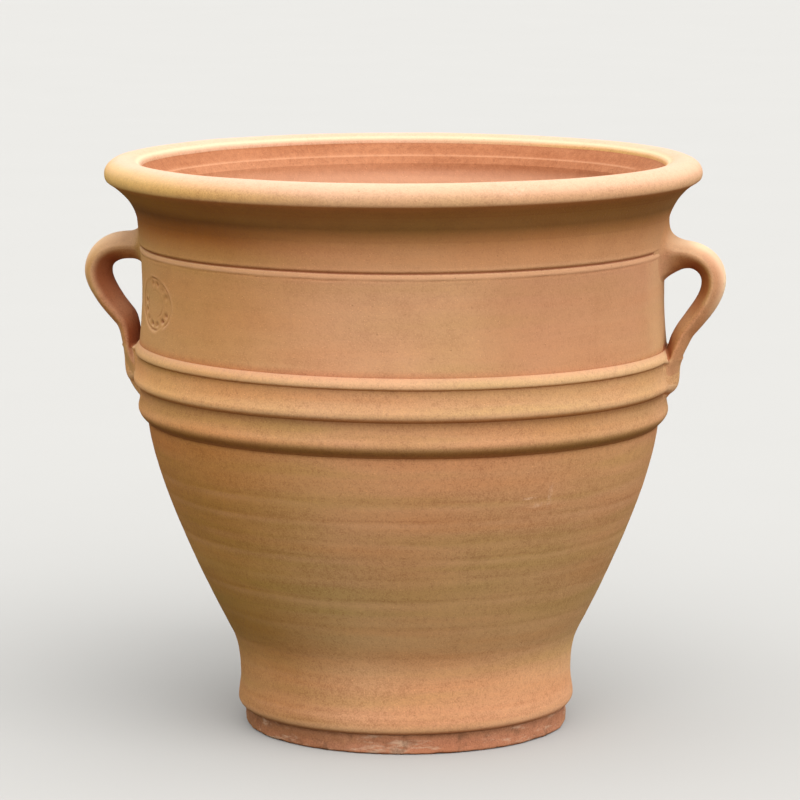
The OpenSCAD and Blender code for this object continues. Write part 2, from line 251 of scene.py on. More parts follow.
def line_mark(x, y, z):
    """Painted shade along each tool line above 0, and the painted highlight of the paler band under it below
    0.
    """
    total = 0.0
    for number, (height, strength) in enumerate(THROWN_LINES):
        drift, shake = around_noise(x, y, 150, 7.3 * number), around_noise(x, y, 13, 3.7 * number)
        off = z - height - 1.5 * drift - 0.5 * shake
        broken = strength * np.clip(0.75 + 0.6 * around_noise(x, y, 38, 5.1 * number + 2), 0.3, 1)
        total = total + broken * (0.5 * hill(off, 1.5) - 0.42 * hill(off + 5.0, 3.4))
    return total


def warped(x, y, z):
    across = x * cos(CAMERA_TURN) + y * sin(CAMERA_TURN)
    lean = FOOT_LEAN * (1 - ease(z / BELT_H))
    risen = z + np.interp(z, TILT_H, TILT) * across + BELT_RISE * hill(z - BELT_RISE_H, BELT_RISE_REACH)
    return x + lean * cos(CAMERA_TURN), y + lean * sin(CAMERA_TURN), risen


def add_object(name, data):
    thing = bpy.data.objects.new(name, data)
    bpy.context.scene.collection.objects.link(thing)
    return thing


# Meshes
def make_piece(name, points, corners, sizes, fields, slot, nodes):
    """A piece from points in mm and faces given by their corners and how many each has."""
    points = np.stack(warped(*points.T), -1) * MM
    mesh = bpy.data.meshes.new(name)
    mesh.vertices.add(len(points))
    mesh.vertices.foreach_set("co", points.ravel())
    mesh.loops.add(len(corners))
    mesh.loops.foreach_set("vertex_index", corners)
    mesh.polygons.add(len(sizes))
    mesh.polygons.foreach_set("loop_start", np.concatenate([[0], np.cumsum(sizes)[:-1]]))
    mesh.polygons.foreach_set("use_smooth", np.ones(len(sizes), bool))
    mesh.update(calc_edges=True)
    mesh.validate()
    for key, values in fields.items():
        kind, prop = ("FLOAT_VECTOR", "vector") if values.size == 3 * len(points) else ("FLOAT", "value")
        mesh.attributes.new(key, kind, "POINT").data.foreach_set(prop, values.ravel().astype(np.float32))
    piece = add_object(name, mesh)
    mesh.materials.append(CLAYS[slot])
    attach(piece, "root")
    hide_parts(*nodes)


def point_fields(level, ridge, flow, mark=0.0, inside=0.0, scuff=0.0):
    """What the clay reads at each point, with level and flow in mm."""
    nothing = np.zeros(level.shape)
    flow = np.stack(flow, -1) * MM
    seen = {"level": level * MM, "mark": nothing + mark, "ridge": ridge}
    return {**seen, "inside": nothing + inside, "scuff": nothing + scuff, "flow": flow}


def build(name, x, y, z, fields, slot, nodes, close_rows=True):
    """A piece from a grid of points in mm: rows along the outline, columns around."""
    rows, columns = x.shape
    index = np.arange(rows * columns).reshape(rows, columns)
    below = index if close_rows else index[:-1]
    above = np.roll(index, -1, 0) if close_rows else index[1:]
    quads = np.stack([below, np.roll(below, -1, 1), np.roll(above, -1, 1), above], -1).reshape(-1, 4)
    corners = [quads.ravel()]
    sizes = [np.full(len(quads), 4)]
    if not close_rows:
        corners += [index[0][::-1], index[-1]]
        sizes += [np.array([columns, columns])]
    points = np.stack([x, y, z], -1).reshape(-1, 3)
    make_piece(name, points, np.concatenate(corners), np.concatenate(sizes), fields, slot, nodes)


def spread(points, pitch, fine=(), fine_pitch=1.0, fine_reach=3.0):
    """Points along a line at an even pitch, closer together near the heights in fine."""
    points = np.asarray(points, float)
    run = runs(points)
    at = np.linspace(0, run[-1], max(3, int(run[-1] / 0.2)))
    dense = np.stack([np.interp(at, run, points[:, k]) for k in (0, 1)], 1)
    step = np.full(len(at), float(pitch))
    for height in fine:
        near = np.abs(dense[:, 1] - height) - fine_reach
        step = np.minimum(step, fine_pitch + 0.3 * np.maximum(near, 0))
    work = np.concatenate([[0], np.cumsum(np.diff(at) / step[1:])])
    where = np.interp(np.linspace(0, work[-1], max(1, int(round(work[-1]))) + 1), work, at)
    return np.stack([np.interp(where, run, points[:, k]) for k in (0, 1)], 1)


# Sides of a turned piece: outside, hidden in a joint, inside
OUT, HID, IN = 1, 0, -1
# The painted highlight line on the ledge inside, and how far and from where the crown is worn down
LEDGE_LINE_H, LEDGE_HIGHLIGHT, CROWN_SUNK, CROWN_FROM = 554.0, 0.9, 0.35, (548, 20)
AROUND_STEPS = 480
AROUND = np.linspace(-pi, pi, AROUND_STEPS + 1)[:-1]
# How far the turning draws out the grain
DRAWN_OUT = 14


def convexity(line, reach=4.0):
    """How far each point of a closed outline stands out from its surroundings, in mm."""
    run = np.hypot(*(np.roll(line, -1, 0) - line).T)
    place = np.cumsum(run) - run
    total = run.sum()
    out = np.zeros(len(line))
    ahead = np.roll(line, -1, 0) - np.roll(line, 1, 0)
    normal = np.stack([ahead[:, 1], -ahead[:, 0]], 1) / np.maximum(np.hypot(*ahead.T), 1e-6)[:, None]
    for i in range(len(line)):
        gap = np.abs(place - place[i])
        gap = np.minimum(gap, total - gap)
        weight = hill(gap, reach) * (run + np.roll(run, 1))
        out[i] = (line[i] - (weight[:, None] * line).sum(0) / weight.sum()) @ normal[i]
    return out


toe_start = (FOOT_R - WALL_T + FLOOR_BEVEL, LEDGE_H)
toe_line = join([toe_start], arc(TOE_MIDDLE, TOE_ROUND, TOE_ROUND, -90, 0, 24), foot_line[1:])
outer_line = join(
    toe_line, knee_line[1:], pot_line[pot_line[:, 1] < bead_low[1]], bead_line, under_line[bead_place + 1:],
    side_line[1:], dome_line[1:], mouth_line[1:],
)
outer_line = spread(outer_line, 0.8)
STANDS_OUT = convexity(outer_line)


def standing_out(points):
    """Convexity of the whole pot at the points of one outline."""
    gap = np.hypot(points[:, None, 0] - outer_line[:, 0], points[:, None, 1] - outer_line[:, 1])
    return STANDS_OUT[gap.argmin(1)]


# Distance of the extra point at each end of an outline
GUARD = 0.03


def guarded(points):
    """Adds a point close to each end, so that smooth shading stays even up to the joint."""
    first, last = points[1] - points[0], points[-2] - points[-1]
    near_first = points[0] + first / np.hypot(*first) * GUARD
    near_last = points[-1] + last / np.hypot(*last) * GUARD
    return join(points[:1], near_first, points[1:-1], near_last, points[-1:])


def lathe(name, strips, slot, nodes, around=AROUND, carve=None, scuffs=()):
    """A turned piece. strips are (points, side) pairs that follow each other round its outline."""
    rows = []
    for number, (points, kind) in enumerate(strips):
        points = points[1:-1] if kind == HID else guarded(points)
        if kind != HID and strips[number - 1][1] != HID:
            points = points[2:]
        rows.append((points, kind))
    line = np.concatenate([points for points, _ in rows])
    side = np.concatenate([np.full(len(points), kind) for points, kind in rows])[:, None]
    radius, z = line[:, :1] + 0 * around, line[:, 1:] + 0 * around
    x, y = turned_to(radius, around)
    mark = np.where(side == OUT, line_mark(x, y, z), 0)
    outside = outside_shift(x, y, z) - LINE_DEEP * np.maximum(mark, 0)
    shift = np.where(side == IN, inside_shift(x, y, z), outside)
    # Painted highlight along the ledge inside, broken up round the pot
    ledge_line_broken = ease(0.9 + 1.6 * around_noise(x, y, 90, 31))
    mark = mark - (side == IN) * LEDGE_HIGHLIGHT * hill(z - LEDGE_LINE_H, 0.55) * ledge_line_broken
    sink = -CROWN_SUNK * (1 + around_noise(x, y, 60, 5)) * rising(z, *CROWN_FROM)
    if carve:
        cut, cut_mark, lift = carve(around + 0 * z, radius, z, side)
        shift, mark, sink = shift + cut, mark + cut_mark, sink + lift
    radius = radius + shift
    x, y = turned_to(radius, around)
    scuff = sum((patch(x, y, z, *one) for one in scuffs), 0 * z)
    # How far the outline stands out, from which the clay paints highlight on crests and shade in hollows
    ridge = (side == OUT) * standing_out(line)[:, None] + 0 * z
    flow = [x / DRAWN_OUT, y / DRAWN_OUT, z]
    fields = point_fields(z, ridge, flow, mark, (side == IN) * 1.0, scuff)
    build(name, x, y, z + sink, fields, slot, nodes)


def patch(x, y, z, turn, height, wide, high, slant):
    """A small worn mark on the surface, at a direction and height, with its half sizes in mm."""
    turn = radians(turn)
    along = -x * sin(turn) + y * cos(turn)
    front = (x * cos(turn) + y * sin(turn)) > 0
    up = z - height - slant * along
    return front * hill(along, wide) * hill(up, high)


# Clay materials
def srgb(red, green, blue):
    """An 8-bit colour as linear values."""
    values = np.array([red, green, blue]) / 255
    return (*np.where(values <= 0.04045, values / 12.92, ((values + 0.055) / 1.055) ** 2.4), 1.0)


class Nodes:
    """Short ways to add nodes to one material."""

    def __init__(self, name):
        self.material = bpy.data.materials.new(name)
        self.material.use_nodes = True
        self.tree = self.material.node_tree
        self.tree.nodes.clear()

    def add(self, kind, inputs=(), **settings):
        node = self.tree.nodes.new(kind)
        for key, value in settings.items():
            setattr(node, key, value)
        for key, value in dict(inputs).items():
            if isinstance(value, bpy.types.NodeSocket):
                self.tree.links.new(value, node.inputs[key])
            else:
                node.inputs[key].default_value = value
        return node

    def math(self, operation, a, b=0.0, c=0.0, clamp=False):
        return self.add("ShaderNodeMath", {0: a, 1: b, 2: c}, operation=operation, use_clamp=clamp).outputs[0]

    def above_half(self, value, weight):
        """A noise centred on 0, with its weight, for sum."""
        return self.math("SUBTRACT", value, 0.5), weight

    def sum(self, *terms):
        """Adds (value, weight) pairs."""
        total = 0.0
        for value, weight in terms:
            total = self.math("MULTIPLY_ADD", value, weight, total)
        return total

    def fit(self, value, low, high, out_low=0.0, out_high=1.0):
        sockets = {"Value": value, "From Min": low, "From Max": high, "To Min": out_low, "To Max": out_high}
        return self.add("ShaderNodeMapRange", sockets, interpolation_type="SMOOTHSTEP").outputs["Result"]

    def tint(self, share, a, b, blend="MIX"):
        node = self.add("ShaderNodeMix", {0: share, 6: a, 7: b}, data_type="RGBA", blend_type=blend)
        return node.outputs[2]

    def ramp(self, value, stops):
        node = self.add("ShaderNodeValToRGB", {"Fac": value})
        slots = node.color_ramp.elements
        for number, (place, colour) in enumerate(stops):
            slot = slots[number] if number < 2 else slots.new(place)
            slot.position, slot.color = place, colour
        return node.outputs["Color"]

    def noise(self, where, scale, detail=2.0, rough=0.55):
        sockets = {"Vector": where, "Scale": scale, "Detail": detail, "Roughness": rough}
        return self.add("ShaderNodeTexNoise", sockets).outputs["Fac"]

    def field(self, name, vector=False):
        node = self.add("ShaderNodeAttribute", attribute_name=name)
        return node.outputs["Vector" if vector else "Fac"]

    def stretch(self, where, scale):
        return self.add("ShaderNodeMapping", {"Vector": where, "Scale": scale}).outputs["Vector"]

    def grains(self, where, scale, share, size):
        """Round specks, one in each chosen cell."""
        node = self.add("ShaderNodeTexVoronoi", {"Vector": where, "Scale": scale})
        pick = self.add("ShaderNodeSeparateColor", {"Color": node.outputs["Color"]})
        chosen = self.math("GREATER_THAN", pick.outputs[0], 1 - share)
        grown = self.math("MULTIPLY_ADD", pick.outputs[1], size, size * 0.5)
        near = self.math("SUBTRACT", 1.0, self.math("DIVIDE", node.outputs["Distance"], grown), clamp=True)
        return self.math("MULTIPLY", chosen, self.fit(near, 0.0, 0.5))


WHITE = (1.0, 1.0, 1.0, 1.0)
# Tints as (height in mm, 8-bit colour): raw foot, olive flank, warm belt and neck, creamy rim.
# The flank's olive is partly painted green reflection and the rim's cream mostly painted light; the dark
# bands under each rib are painted shade, and the dark band under the rim is painted shade with some grime
HEIGHT_TONES_AND_PAINTED_LIGHT = (
    (0, (188, 128, 96)), (19, (178, 118, 86)), (24, (212, 158, 118)), (68, (214, 162, 118)),
    (110, (187, 147, 102)), (180, (186, 144, 97)), (250, (196, 146, 102)), (306, (203, 148, 104)),
    (312, (156, 112, 62)), (315.5, (156, 113, 61)), (319, (184, 137, 89)), (323, (210, 158, 114)),
    (338, (198, 148, 104)), (345.5, (168, 121, 78)), (347.5, (204, 154, 108)), (355, (216, 168, 124)),
    (371, (200, 150, 106)), (376.5, (188, 139, 94)), (378.5, (208, 160, 114)), (384, (218, 172, 130)),
    (389.5, (206, 142, 104)), (396, (211, 160, 119)), (480, (209, 159, 118)), (505, (199, 146, 101)),
    (515, (184, 131, 84)), (523, (169, 115, 66)), (531, (141, 96, 48)), (537, (156, 112, 61)),
    (548, (172, 128, 74)), (554.5, (204, 154, 108)), (562, (222, 177, 138)), (576, (226, 179, 158)),
)
# Painted shade and painted green reflection, multiplied onto the faces that look to the viewer's left
LEFT_PAINTED_SHADE = (
    (0, (228, 221, 200)), (60, (222, 213, 188)), (120, (218, 205, 154)), (185, (244, 232, 188)),
    (240, (231, 218, 167)), (306, (236, 226, 180)), (316, (255, 250, 226)), (371, (255, 250, 226)),
    (380, (240, 232, 198)), (398, (240, 239, 208)), (495, (240, 236, 200)), (515, (214, 184, 118)),
    (530, (219, 195, 140)), (542, (255, 255, 204)), (576, (255, 255, 199)),
)
# Ramps over a noise: dark to pale, olive to redder patches, and the same in turned streaks
SHADE_STOPS = ((0.22, (222, 212, 204)), (0.5, (243, 242, 240)), (0.8, (255, 255, 252)))
HUE_STOPS = ((0.34, (249, 254, 243)), (0.5, (255, 255, 255)), (0.68, (255, 247, 243)))
STREAK_STOPS = ((0.34, (246, 251, 237)), (0.5, (255, 255, 255)), (0.68, (255, 247, 240)))
INSIDE_DARK, INSIDE_LIGHT = srgb(188, 121, 79), srgb(207, 146, 106)
# Painted shade for undersides, painted highlight for faces turned up, and the red of the neck's right
UNDERSIDE_SHADE, UPPER_FACE_LIGHT, SIDE_RED = srgb(226, 170, 96), srgb(238, 204, 166), srgb(246, 235, 235)
# Painted shade for hollows, painted highlight with a little wear for crests, painted highlight for the
# handles' outer faces
HOLLOW_SHADE, CREST_HIGHLIGHT_AND_WEAR, SHARP_HIGHLIGHT = srgb(200, 136, 92), srgb(250, 216, 178), srgb(255, 228, 192)
LEDGE_GREY, INSIDE_PALER_LOW = srgb(230, 216, 204), srgb(234, 190, 158)
# Painted shade and painted highlight of lines, grooves, seal and ledge, and pale scuffs
LINE_SHADE, LINE_HIGHLIGHT, SCUFFED = srgb(180, 122, 92), srgb(236, 184, 144), srgb(242, 206, 176)
PALE_SPECK, DARK_SPECK = (1.16, 1.17, 1.18, 1.0), srgb(142, 96, 62)
LIME, SOIL = srgb(214, 186, 158), srgb(118, 78, 52)
# Heights in metres between which the look changes
BELT_ENDS, NECK_STARTS, RIM_STARTS = (0.38, 0.4), (0.385, 0.4), (0.54, 0.55)
# The grain grows away from one height, and the neck's right is redder near another
GRAIN_LEAST, GRAIN_GROWS, RED_LEVEL, RED_REACH = 0.325, (0.17, 0.245), 0.44, (0.052, 0.042)


def ramp_stops(pairs, whole=1.0):
    """Ramp stops from (place, 8-bit colour) pairs, with places as shares of the whole."""
    return [(place / whole, srgb(*colour)) for place, colour in pairs]


def clay(name, raw=0.0, sandy=1.0):
    """Fired, unglazed clay; raw adds the crumbly soiled look of the base slab."""
    n = Nodes(name)
    here = n.add("ShaderNodeTexCoord").outputs["Object"]
    flow = n.field("flow", vector=True)
    mark, ridge, level = n.field("mark"), n.field("ridge"), n.field("level")
    normal = n.add("ShaderNodeSeparateXYZ", {0: n.add("ShaderNodeNewGeometry").outputs["Normal"]})
    facing = normal.outputs[2]
    leftward = n.sum((normal.outputs[0], -cos(CAMERA_TURN)), (normal.outputs[1], -sin(CAMERA_TURN)))

    patches = n.noise(here, 6.0, 3.0, 0.6)
    clouds = n.noise(here, 34.0, 4.0, 0.65)
    bands = n.noise(flow, 42.0, 3.0, 0.6)
    drags = n.noise(flow, 260.0, 2.0, 0.5)
    mottle = n.noise(here, 170.0, 3.0, 0.6)
    grain = n.noise(here, 620.0, 2.0, 0.6)
    pale_specks = n.grains(here, 520.0, 0.34, 0.25)
    dark_specks = n.grains(here, 260.0, 0.13, 0.18)
    # Foot and rim are grainier than flank and neck
    from_least = n.math("ABSOLUTE", n.math("SUBTRACT", level, GRAIN_LEAST))
    coarse = n.fit(from_least, *GRAIN_GROWS, 1.95 * sandy, 2.1)
    coarse = n.math("MULTIPLY", coarse, n.fit(level, *NECK_STARTS, 1.0, 0.48))
    coarse = n.math("MULTIPLY", coarse, n.fit(level, *RIM_STARTS, 1.0, 1.55))
    turned = n.fit(level, *BELT_ENDS, 1.0, 0.5)

    # Brightness: slow patches and turning bands down to single grains, around 0
    slow = n.sum(n.above_half(patches, 0.34), n.above_half(clouds, 0.3))
    lines = n.sum(n.above_half(bands, 0.5), n.above_half(drags, 0.2))
    fine = n.sum(n.above_half(mottle, 0.34), n.above_half(grain, 0.6 + 0.15 * raw))
    tone = n.math("MULTIPLY_ADD", lines, turned, n.math("ADD", slow, 0.5))
    tone = n.math("MULTIPLY_ADD", fine, coarse, tone)
    shade = n.ramp(tone, ramp_stops(SHADE_STOPS))
    height = n.math("DIVIDE", level, POT_H * MM)
    # Clay tone by height, with its painted shade under ribs and rim and painted light on the rim
    outer = n.tint(1.0, n.ramp(height, ramp_stops(HEIGHT_TONES_AND_PAINTED_LIGHT, POT_H)), shade, "MULTIPLY")
    hue = n.ramp(n.noise(here, 4.2, 2.0, 0.5), ramp_stops(HUE_STOPS))
    outer = n.tint(1.0, outer, hue, "MULTIPLY")
    streaks = n.ramp(n.noise(flow, 50.0, 2.0, 0.5), ramp_stops(STREAK_STOPS))
    outer = n.tint(turned, outer, streaks, "MULTIPLY")
    # Painted shade and green reflection on undersides and on faces that look left, painted highlight on faces
    # turned up, painted shade in the hollows of the outline and painted highlight on its crests, with a
    # little wear
    outer = n.tint(n.fit(facing, -0.4, -0.9, 0.0, 0.7), outer, UNDERSIDE_SHADE, "MULTIPLY")
    # Painted shade and green reflection on the faces that look left
    left_painted_shade = n.ramp(height, ramp_stops(LEFT_PAINTED_SHADE, POT_H))
    outer = n.tint(n.fit(leftward, 0.2, 0.75), outer, left_painted_shade, "MULTIPLY")
    outer = n.tint(n.fit(facing, 0.15, 0.8, 0.0, 0.3), outer, UPPER_FACE_LIGHT)
    outer = n.tint(n.fit(ridge, -0.1, -1.7, 0.0, 0.8), outer, HOLLOW_SHADE, "MULTIPLY")
    outer = n.tint(n.fit(ridge, 0.1, 1.2, 0.0, 0.25), outer, CREST_HIGHLIGHT_AND_WEAR)
    outer = n.tint(n.fit(ridge, 1.0, 2.4, 0.0, 0.5), outer, SHARP_HIGHLIGHT)
    redder = n.math("MULTIPLY", n.fit(leftward, -0.15, -0.45), n.fit(leftward, -0.97, -0.88))
    from_red = n.math("ABSOLUTE", n.math("SUBTRACT", level, RED_LEVEL))
    redder = n.math("MULTIPLY", redder, n.fit(from_red, *RED_REACH))
    outer = n.tint(redder, outer, SIDE_RED, "MULTIPLY")
    blend = n.fit(n.sum((bands, 0.5), (patches, 0.3), (mottle, 0.2)), 0.35, 0.65)
    inner = n.tint(blend, INSIDE_DARK, INSIDE_LIGHT)
    inner = n.tint(1.0, inner, shade, "MULTIPLY")
    inner = n.tint(n.fit(level, 0.553, 0.558, 0.0, 0.5), inner, LEDGE_GREY, "MULTIPLY")
    # Paler further down inside
    inner = n.tint(n.fit(level, 0.546, 0.528, 0.0, 0.4), inner, INSIDE_PALER_LOW)
    colour = n.tint(n.field("inside"), outer, inner)

    torn = n.fit(n.noise(here, 420.0, 2.0, 0.6), 0.35, 0.6)
    held = n.math("MAXIMUM", torn, n.fit(mark, 0.55, 0.85, 0.35, 1.0))
    line_dark = n.math("MULTIPLY", n.math("MAXIMUM", mark, 0.0), held)
    line_pale = n.math("MAXIMUM", n.math("MULTIPLY", mark, -1.0), 0.0)
    # Painted shade in tool lines, grooves, score, seal dots and under each leg; painted highlight under tool
    # lines, on the strip between the grooves and on the ledge inside
    colour = n.tint(n.math("MULTIPLY", line_dark, 0.7, clamp=True), colour, LINE_SHADE, "MULTIPLY")
    colour = n.tint(n.math("MULTIPLY", line_pale, 0.45, clamp=True), colour, LINE_HIGHLIGHT)
    colour = n.tint(pale_specks, colour, PALE_SPECK, "MULTIPLY")
    colour = n.tint(n.math("MULTIPLY", dark_specks, 0.3), colour, DARK_SPECK)
    torn_scuff = n.fit(n.noise(here, 300.0, 3.0, 0.7), 0.4, 0.56)
    rubbed = n.math("MULTIPLY", n.field("scuff"), torn_scuff, clamp=True)
    colour = n.tint(n.math("MULTIPLY", rubbed, 0.5), colour, SCUFFED)
    if raw:
        lime = n.fit(n.noise(n.stretch(here, (22.0, 22.0, 90.0)), 1.0, 4.0, 0.7), 0.52, 0.66, 0.0, 0.55)
        soil = n.fit(n.noise(here, 48.0, 4.0, 0.7), 0.5, 0.68, 0.0, 0.7)
        colour = n.tint(lime, colour, LIME)
        colour = n.tint(soil, colour, SOIL)

    # Relief in mm: sandy grain, drag lines, standing grog and small pits
    relief = n.sum(
        (grain, 0.14 + 0.25 * raw), (mottle, 0.16 + 0.5 * raw), (drags, 0.1), (pale_specks, 0.12),
        (dark_specks, -0.2), (line_dark, -0.12), (torn, 0.05),
    )
    bump = n.add("ShaderNodeBump", {"Height": relief, "Distance": MM, "Strength": 1.0}).outputs["Normal"]
    dull = n.fit(n.sum((mottle, 0.5), (grain, 0.5)), 0.3, 0.7, 0.78, 0.96)
    shader = n.add("ShaderNodeBsdfPrincipled", {"Base Color": colour, "Roughness": dull, "Normal": bump})
    shader.inputs["Specular IOR Level"].default_value = 0.35
    shader.inputs["Diffuse Roughness"].default_value = 0.6
    n.add("ShaderNodeOutputMaterial", {"Surface": shader.outputs[0]})
    return n.material


CLAYS = {
    "raw_base": clay("raw_base_look", raw=1.0),
    "wall_clay": clay("wall_clay_look"),
    "rib_clay": clay("rib_clay_look"),
    "rim_clay": clay("rim_clay_look"),
    "handle_clay": clay("handle_clay_look", sandy=1.5),
}

# Base slab: raw, chipped and crumbly under the overhanging toe
CHIP_TURN, CHIP_WIDE, CHIP_DEEP, CHIP_TOP = radians(-147.5), 0.022, 5.0, 17


def slab_carve(turn, radius, z, side):
    x, y = turned_to(radius, turn)
    rim = rising(radius, 150, 10) * falling(z, LEDGE_H + 1, 2)
    rough = waves(x, y, z, 0.7, 9, 5) + waves(x, y, z, 0.6, 26, 9, 5) - 0.9
    chip = -CHIP_DEEP * hill(turn - CHIP_TURN, CHIP_WIDE) * rising(z, 0, 6) * falling(z, CHIP_TOP, 5)
    spiral = 0.7 * np.sin(radius / 2.6 + turn)
    floor_up = (side == IN) * (spiral * falling(radius, 146, 6) * rising(radius, DRAIN_R + 4, 6))
    under = (side == OUT) * falling(z, 2.5, 2) * 0.35 * (1 + around_noise(x, y, 8, 3))
    return rim * (rough + chip) - outside_shift(x, y, z) * (1 - rim), 0 * z, floor_up + under


slab_edge = arc((BASE_R - BASE_ROUND, BASE_ROUND), BASE_ROUND, BASE_ROUND, -90, 0, 8)
slab_side = join([(DRAIN_R, 0.0)], [(BASE_R - BASE_ROUND, 0.0)], slab_edge, [(BASE_R, LEDGE_H)])
slab_top = [(BASE_R, LEDGE_H), (FOOT_R - WALL_T + FLOOR_BEVEL, LEDGE_H), (FOOT_R - WALL_T, FLOOR_H)]
lathe("base_slab", [
    (spread(slab_side, 2.5, fine=(4, 10, 16), fine_pitch=1.2), OUT),
    (spread(slab_top, 3), HID),
    (spread([(FOOT_R - WALL_T, FLOOR_H), (DRAIN_R + 2, FLOOR_H), (DRAIN_R, FLOOR_H - 2)], 2), IN),
    (spread([(DRAIN_R, FLOOR_H - 2), (DRAIN_R, 0)], 3), HID),
], "raw_base", ["base_disc"], carve=slab_carve)

# Lower wall: toe, foot and flank
# Scuffs as (direction in degrees, height, half width, half height, slant)
WHITE_SCUFFS = (
    (-47.3, 267.0, 1.5, 8.0, 0.0), (-50.2, 258.5, 5.0, 1.5, 0.1), (-52.8, 266.0, 6.0, 1.0, 0.0),
)
low_wall_lines = tuple(height for height, _ in THROWN_LINES)
low_wall = join(toe_line, knee_line[1:], flank_line[1:])
low_inside = join(foot_line[1:], knee_line[1:], flank_line[1:], [core_at(SEAM_H + SEAM_RISE)])
low_inside = moved_in(low_inside, WALL_T)
low_seat = [(FOOT_R - WALL_T, foot_line[1][1]), (FOOT_R - WALL_T, FLOOR_H), toe_start]
lathe("lower_wall_clay", [
    (spread(low_wall, 3.2, fine=low_wall_lines, fine_pitch=1.0, fine_reach=2.2), OUT),
    (spread([BELT_LOW, seam_out, seam_in], 8), HID),
    (spread(low_inside[::-1], 3.6), IN),
    (spread(low_seat, 6), HID),
], "wall_clay", ["lower_wall"], scuffs=WHITE_SCUFFS)

# Upper wall: grooves round the neck, and a ring of dots pressed in at the left
SEAL_TURN, SEAL_H, SEAL_R, SEAL_WIDER = radians(-151.1), 437.8, 26.0, 1.6
DOT_RING, DOT_SIZE, DOTS, DOT_DEEP, LINE_SEAL, INNER_RING = 20.5, 2.6, 14, 2.9, 1.2, 13.5
# Finer columns round the seal, in radians
SEAL_HALF, SEAL_STEP = 0.19, 0.0031
# The pale line between the grooves, a painted highlight on the raised strip, and the painted shade in the
# corner under each leg
LINE_BETWEEN_H, UNDER_LEG_H = 484.6, 388


def neck_carve(turn, radius, z, side):
    x, y = turned_to(radius, turn)
    face = (side == OUT) * 1.0
    low = 0.5 * around_noise(x, y, 170, 60)
    groove = hill(z - GROOVE_H + 1.1 - low, GROOVE_W / 3)
    broken = np.clip(0.75 + 0.7 * around_noise(x, y, 14, 70), 0.15, 1.2)
    score = hill(z - SCORE_H - low - 0.5 * around_noise(x, y, 20, 71), SCORE_W / 2) * broken
    upper_lip = 0.35 * hill(z - low - (GROOVE_H + 2.2), 1.3)
    lips = upper_lip + 0.55 * hill(z - low - (GROOVE_H + SCORE_H) / 2 + 0.6, 2.2)
    crumbs = 0.3 * hill(z - SCORE_H - low + 2.2, 1.2) * np.clip(around_noise(x, y, 5, 73), 0, 1)
    along, up = radius * (turn - SEAL_TURN) / SEAL_WIDER, z - SEAL_H
    away = np.hypot(along, up)
    sector = 2 * pi / DOTS
    spin = np.arctan2(up, along)
    off = DOT_RING * (spin - np.round(spin / sector) * sector)
    dots = hill(np.hypot(off, away - DOT_RING), DOT_SIZE)
    rings = hill(away - SEAL_R, 1.0) + 0.5 * hill(away - INNER_RING, 0.8)
    worn = np.clip(0.7 + 1.1 * noise(along / 12, up / 12, 75), 0.05, 1)
    lip = hill(away - SEAL_R - 2.3, 1.3) + 0.6 * hill(away - SEAL_R + 2.2, 1.1)
    seal = -worn * (DOT_DEEP * dots + LINE_SEAL * rings - 0.35 * lip) - 0.7 * ease((SEAL_R + 1 - away) / 3)
    cut = 0.65 * (-GROOVE_DEEP * groove) - 0.4 * SCORE_DEEP * score + lips + crumbs + seal
    pressed = worn * (1.3 * dots + 1.0 * rings - 0.5 * lip)
    under_leg_shade = hill(radius * np.sin(turn), 24) * hill(z - UNDER_LEG_H, 10)
    pale = 1.1 * hill(z - low - LINE_BETWEEN_H, 1.7)
    # Painted shade in groove, score, seal and under each leg, less the painted highlight on the strip
    dark = 1.1 * groove + 0.4 * score + pressed + 1.5 * under_leg_shade - pale
    return face * cut, face * dark, 0 * z


seal_fine = np.arange(-SEAL_HALF, SEAL_HALF + 0.0001, SEAL_STEP) + SEAL_TURN
away_from_seal = AROUND[np.abs(AROUND - SEAL_TURN) > SEAL_HALF + 0.003]
around_seal = np.sort(np.concatenate([away_from_seal, seal_fine]))
lathe("upper_wall_clay", [
    (spread([seam_in, seam_out, BELT_TOP], 8), HID),
    (spread(neck_line, 2.6, fine=(440, 485), fine_pitch=0.8, fine_reach=27), OUT),
    (spread([neck_end, seat_in], 8), HID),
    (spread(join([seat_in], moved_in(neck_line, WALL_T)[::-1], [seam_in]), 3.2), IN),
], "wall_clay", ["upper_wall"], around=around_seal, carve=neck_carve)

# Belt of ribs, bead and rim
RIBS = (
    ("rib_low_clay", "rib_lower", low_rib),
    ("rib_mid_clay", "rib_middle", mid_rib),
    ("rib_top_clay", "rib_upper", top_rib),
)
for name, node, line in RIBS:
    back = [line[-1], core_at(line[-1][1]), core_at(line[0][1]), line[0]]
    lathe(name, [(spread(line, 1.1), OUT), (spread(back, 6), HID)], "rib_clay", [node])
lathe("rim_bead_clay", [
    (join(spread(bead_line, 1.1), bead_tip), OUT),
    (spread([bead_tip, seat_out, neck_end, bead_line[0]], 5), HID),
], "rim_clay", ["rim_bead"])
RIM_SCUFFS = ((-61.5, 566.0, 6.0, 1.6, 0.0), (-60.0, 569.0, 3.0, 1.2, 0.2))
lathe("rim_coil_clay", [
    (spread(join(under_line, side_line[1:], dome_line[1:], mouth_line[1:]), 1.6), OUT),
    (spread([mouth_line[-1], bevel_end, step_end, seat_in], 1.2), IN),
    (spread([seat_in, neck_end, seat_out], 5), HID),
], "rim_clay", ["rim_coil"], scuffs=RIM_SCUFFS)

# Handles: pulled straps, smeared onto the neck above, and pads that spread their feet over the ribs
# Step of the net, depth and thickness of the hidden sheet in the wall, round on the strap's edges
NET, SUNK, SHEET, ROUNDED = 1.3, 0.2, 3.4, 2.2
# The net's inner and outer radius, half width and top
NET_IN, NET_OUT, NET_SIDE, NET_TOP = 244.0, 331, 60.0, 526
